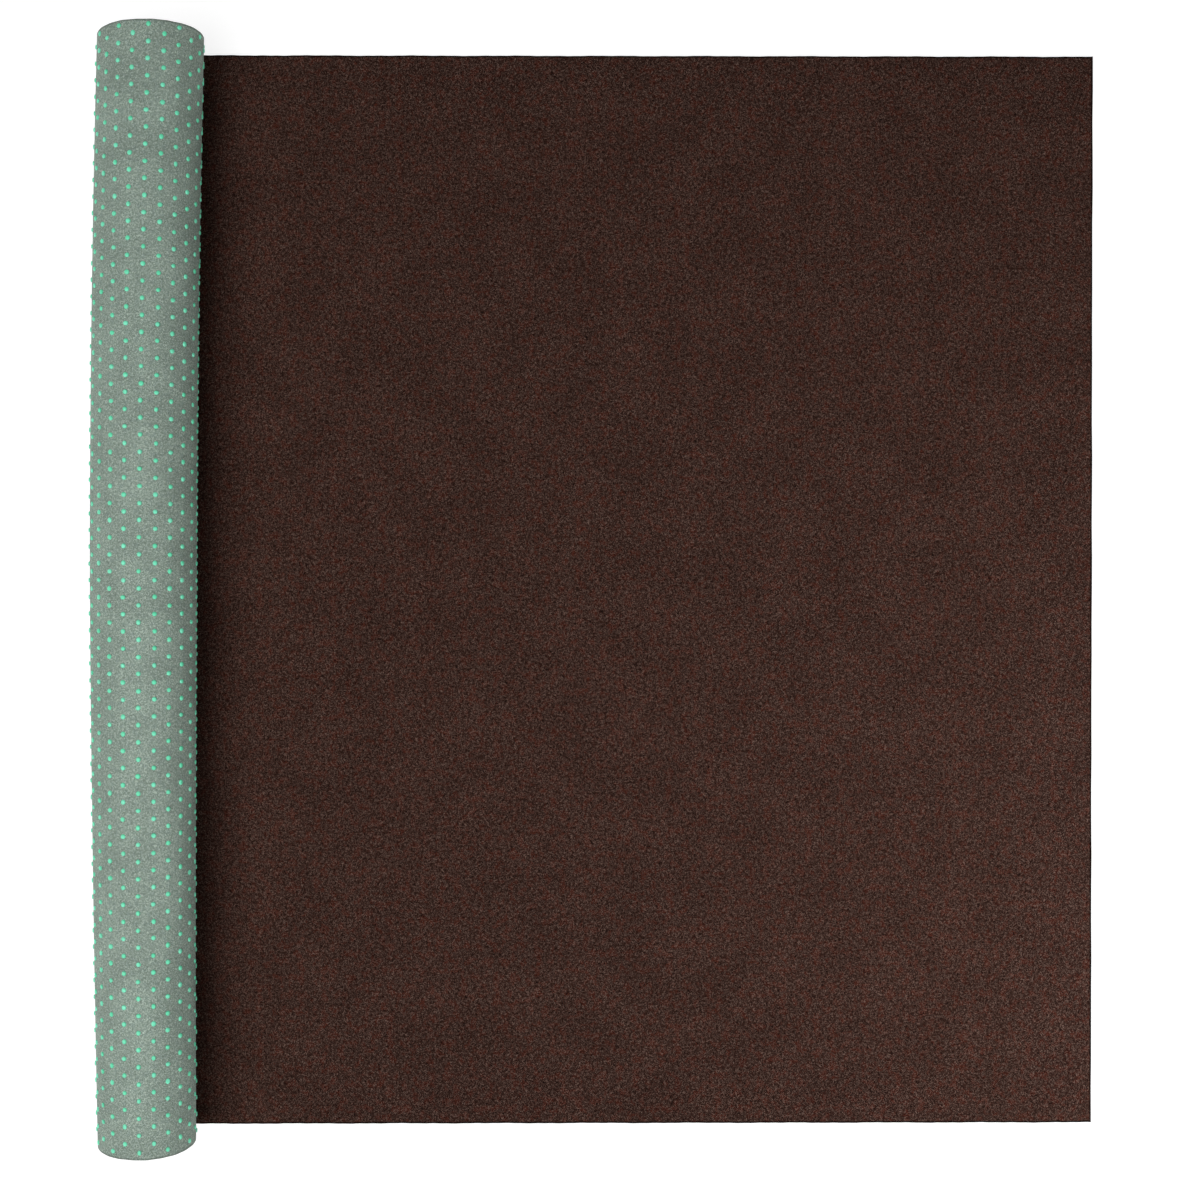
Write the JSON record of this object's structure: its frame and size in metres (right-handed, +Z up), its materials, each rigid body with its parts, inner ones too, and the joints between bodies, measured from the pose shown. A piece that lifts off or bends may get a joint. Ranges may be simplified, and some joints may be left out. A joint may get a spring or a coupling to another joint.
{
  "type": "practice putting mat",
  "caption": "Roll-out felt putting mat, brown on top with a dotted grey-green non-slip backing, partly rolled up.",
  "frame": {"origin": "middle of the object's base, on the surface that the mat lies on, at the middle of its width and of its overall length with the roll", "axes": "+X from the roll towards the free end of the flat stretch, +Y across the mat along the roll, +Z up, out of the putting surface"},
  "size_m": [0.8427, 0.914, 0.0898],
  "materials": {
    "face_felt": "dark brown heathered needle felt, matt",
    "backing_felt": "grey-green heathered felt, matt",
    "grip_dots": "mint-green moulded rubber dots on the backing felt, satin"
  },
  "bodies": {
    "main": {"backing_felt_main": "backing_felt", "face_felt_main": "face_felt"},
    "flat_strip_12": {"backing_felt_flat_strip_12": "backing_felt", "face_felt_flat_strip_12": "face_felt"},
    "flat_strip_11": {"backing_felt_flat_strip_11": "backing_felt", "face_felt_flat_strip_11": "face_felt"},
    "flat_strip_10": {"backing_felt_flat_strip_10": "backing_felt", "face_felt_flat_strip_10": "face_felt"},
    "flat_strip_09": {"backing_felt_flat_strip_09": "backing_felt", "face_felt_flat_strip_09": "face_felt"},
    "flat_strip_08": {"backing_felt_flat_strip_08": "backing_felt", "face_felt_flat_strip_08": "face_felt"},
    "flat_strip_07": {"backing_felt_flat_strip_07": "backing_felt", "face_felt_flat_strip_07": "face_felt"},
    "flat_strip_06": {"backing_felt_flat_strip_06": "backing_felt", "face_felt_flat_strip_06": "face_felt"},
    "flat_strip_05": {"backing_felt_flat_strip_05": "backing_felt", "face_felt_flat_strip_05": "face_felt"},
    "flat_strip_04": {"backing_felt_flat_strip_04": "backing_felt", "face_felt_flat_strip_04": "face_felt"},
    "flat_strip_03": {"backing_felt_flat_strip_03": "backing_felt", "face_felt_flat_strip_03": "face_felt"},
    "flat_strip_02": {"backing_felt_flat_strip_02": "backing_felt", "face_felt_flat_strip_02": "face_felt"},
    "flat_strip_01": {"backing_felt_flat_strip_01": "backing_felt", "face_felt_flat_strip_01": "face_felt"},
    "wrap_strip_01": {"backing_felt_wrap_strip_01": "backing_felt", "face_felt_wrap_strip_01": "face_felt"},
    "wrap_strip_02": {"backing_felt_wrap_strip_02": "backing_felt", "face_felt_wrap_strip_02": "face_felt"},
    "wrap_strip_03": {"backing_felt_wrap_strip_03": "backing_felt", "face_felt_wrap_strip_03": "face_felt"},
    "wrap_strip_04": {"backing_felt_wrap_strip_04": "backing_felt", "face_felt_wrap_strip_04": "face_felt"},
    "wrap_strip_05": {"backing_felt_wrap_strip_05": "backing_felt", "face_felt_wrap_strip_05": "face_felt"},
    "wrap_strip_06": {"backing_felt_wrap_strip_06": "backing_felt", "face_felt_wrap_strip_06": "face_felt"},
    "wrap_strip_07": {"backing_felt_wrap_strip_07": "backing_felt", "face_felt_wrap_strip_07": "face_felt"},
    "wrap_strip_08": {"backing_felt_wrap_strip_08": "backing_felt", "face_felt_wrap_strip_08": "face_felt"},
    "wrap_strip_09": {"backing_felt_wrap_strip_09": "backing_felt", "face_felt_wrap_strip_09": "face_felt"},
    "wrap_strip_10": {"backing_felt_wrap_strip_10": "backing_felt", "face_felt_wrap_strip_10": "face_felt"},
    "wrap_strip_11": {"backing_felt_wrap_strip_11": "backing_felt", "face_felt_wrap_strip_11": "face_felt"},
    "wrap_strip_12": {"backing_felt_wrap_strip_12": "backing_felt", "face_felt_wrap_strip_12": "face_felt"},
    "wrap_strip_13": {"backing_felt_wrap_strip_13": "backing_felt", "face_felt_wrap_strip_13": "face_felt"},
    "wrap_strip_14": {"backing_felt_wrap_strip_14": "backing_felt", "face_felt_wrap_strip_14": "face_felt"},
    "roll": {"backing_felt_roll": "backing_felt", "face_felt_roll": "face_felt"}
  },
  "joints": [
    {"name": "roll_up_12", "type": "hinge", "parent": "main", "child": "flat_strip_12", "pos_m": [-0.26327, 0, 0], "axis": [0, -1, 0], "range_deg": [-12, 0]},
    {"name": "roll_up_11", "type": "hinge", "parent": "flat_strip_12", "child": "flat_strip_11", "pos_m": [-0.27318, 0, 0], "axis": [0, -1, 0], "range_deg": [-12, 0]},
    {"name": "roll_up_10", "type": "hinge", "parent": "flat_strip_11", "child": "flat_strip_10", "pos_m": [-0.28305, 0, 0], "axis": [0, -1, 0], "range_deg": [-12, 0]},
    {"name": "roll_up_09", "type": "hinge", "parent": "flat_strip_10", "child": "flat_strip_09", "pos_m": [-0.2929, 0, 0], "axis": [0, -1, 0], "range_deg": [-12, 0]},
    {"name": "roll_up_08", "type": "hinge", "parent": "flat_strip_09", "child": "flat_strip_08", "pos_m": [-0.30273, 0, 0], "axis": [0, -1, 0], "range_deg": [-12, 0]},
    {"name": "roll_up_07", "type": "hinge", "parent": "flat_strip_08", "child": "flat_strip_07", "pos_m": [-0.31253, 0, 0], "axis": [0, -1, 0], "range_deg": [-12, 0]},
    {"name": "roll_up_06", "type": "hinge", "parent": "flat_strip_07", "child": "flat_strip_06", "pos_m": [-0.32231, 0, 0], "axis": [0, -1, 0], "range_deg": [-12, 0]},
    {"name": "roll_up_05", "type": "hinge", "parent": "flat_strip_06", "child": "flat_strip_05", "pos_m": [-0.33206, 0, 0], "axis": [0, -1, 0], "range_deg": [-12, 0]},
    {"name": "roll_up_04", "type": "hinge", "parent": "flat_strip_05", "child": "flat_strip_04", "pos_m": [-0.34179, 0, 0], "axis": [0, -1, 0], "range_deg": [-12, 0]},
    {"name": "roll_up_03", "type": "hinge", "parent": "flat_strip_04", "child": "flat_strip_03", "pos_m": [-0.35149, 0, 0], "axis": [0, -1, 0], "range_deg": [-12, 0]},
    {"name": "roll_up_02", "type": "hinge", "parent": "flat_strip_03", "child": "flat_strip_02", "pos_m": [-0.36117, 0, 0], "axis": [0, -1, 0], "range_deg": [-12, 0]},
    {"name": "roll_up_01", "type": "hinge", "parent": "flat_strip_02", "child": "flat_strip_01", "pos_m": [-0.37082, 0, 0], "axis": [0, -1, 0], "range_deg": [-12, 0]},
    {"name": "unroll_01", "type": "hinge", "parent": "flat_strip_01", "child": "wrap_strip_01", "pos_m": [-0.38045, 0, 0], "axis": [0, -1, 0], "range_deg": [0, 12]},
    {"name": "unroll_02", "type": "hinge", "parent": "wrap_strip_01", "child": "wrap_strip_02", "pos_m": [-0.38984, 0, 0.002], "axis": [0, -1, 0], "range_deg": [0, 12]},
    {"name": "unroll_03", "type": "hinge", "parent": "wrap_strip_02", "child": "wrap_strip_03", "pos_m": [-0.39859, 0, 0.00589], "axis": [0, -1, 0], "range_deg": [0, 12]},
    {"name": "unroll_04", "type": "hinge", "parent": "wrap_strip_03", "child": "wrap_strip_04", "pos_m": [-0.40632, 0, 0.01151], "axis": [0, -1, 0], "range_deg": [0, 12]},
    {"name": "unroll_05", "type": "hinge", "parent": "wrap_strip_04", "child": "wrap_strip_05", "pos_m": [-0.41269, 0, 0.01859], "axis": [0, -1, 0], "range_deg": [0, 12]},
    {"name": "unroll_06", "type": "hinge", "parent": "wrap_strip_05", "child": "wrap_strip_06", "pos_m": [-0.41744, 0, 0.02682], "axis": [0, -1, 0], "range_deg": [0, 12]},
    {"name": "unroll_07", "type": "hinge", "parent": "wrap_strip_06", "child": "wrap_strip_07", "pos_m": [-0.42037, 0, 0.03583], "axis": [0, -1, 0], "range_deg": [0, 12]},
    {"name": "unroll_08", "type": "hinge", "parent": "wrap_strip_07", "child": "wrap_strip_08", "pos_m": [-0.42136, 0, 0.04523], "axis": [0, -1, 0], "range_deg": [0, 12]},
    {"name": "unroll_09", "type": "hinge", "parent": "wrap_strip_08", "child": "wrap_strip_09", "pos_m": [-0.42038, 0, 0.05461], "axis": [0, -1, 0], "range_deg": [0, 12]},
    {"name": "unroll_10", "type": "hinge", "parent": "wrap_strip_09", "child": "wrap_strip_10", "pos_m": [-0.41747, 0, 0.06355], "axis": [0, -1, 0], "range_deg": [0, 12]},
    {"name": "unroll_11", "type": "hinge", "parent": "wrap_strip_10", "child": "wrap_strip_11", "pos_m": [-0.41278, 0, 0.07168], "axis": [0, -1, 0], "range_deg": [0, 12]},
    {"name": "unroll_12", "type": "hinge", "parent": "wrap_strip_11", "child": "wrap_strip_12", "pos_m": [-0.40652, 0, 0.07863], "axis": [0, -1, 0], "range_deg": [0, 12]},
    {"name": "unroll_13", "type": "hinge", "parent": "wrap_strip_12", "child": "wrap_strip_13", "pos_m": [-0.39897, 0, 0.08411], "axis": [0, -1, 0], "range_deg": [0, 12]},
    {"name": "unroll_14", "type": "hinge", "parent": "wrap_strip_13", "child": "wrap_strip_14", "pos_m": [-0.39047, 0, 0.0879], "axis": [0, -1, 0], "range_deg": [0, 12]},
    {"name": "unroll_15", "type": "hinge", "parent": "wrap_strip_14", "child": "roll", "pos_m": [-0.3814, 0, 0.08983], "axis": [0, -1, 0], "range_deg": [0, 12]}
  ]
}
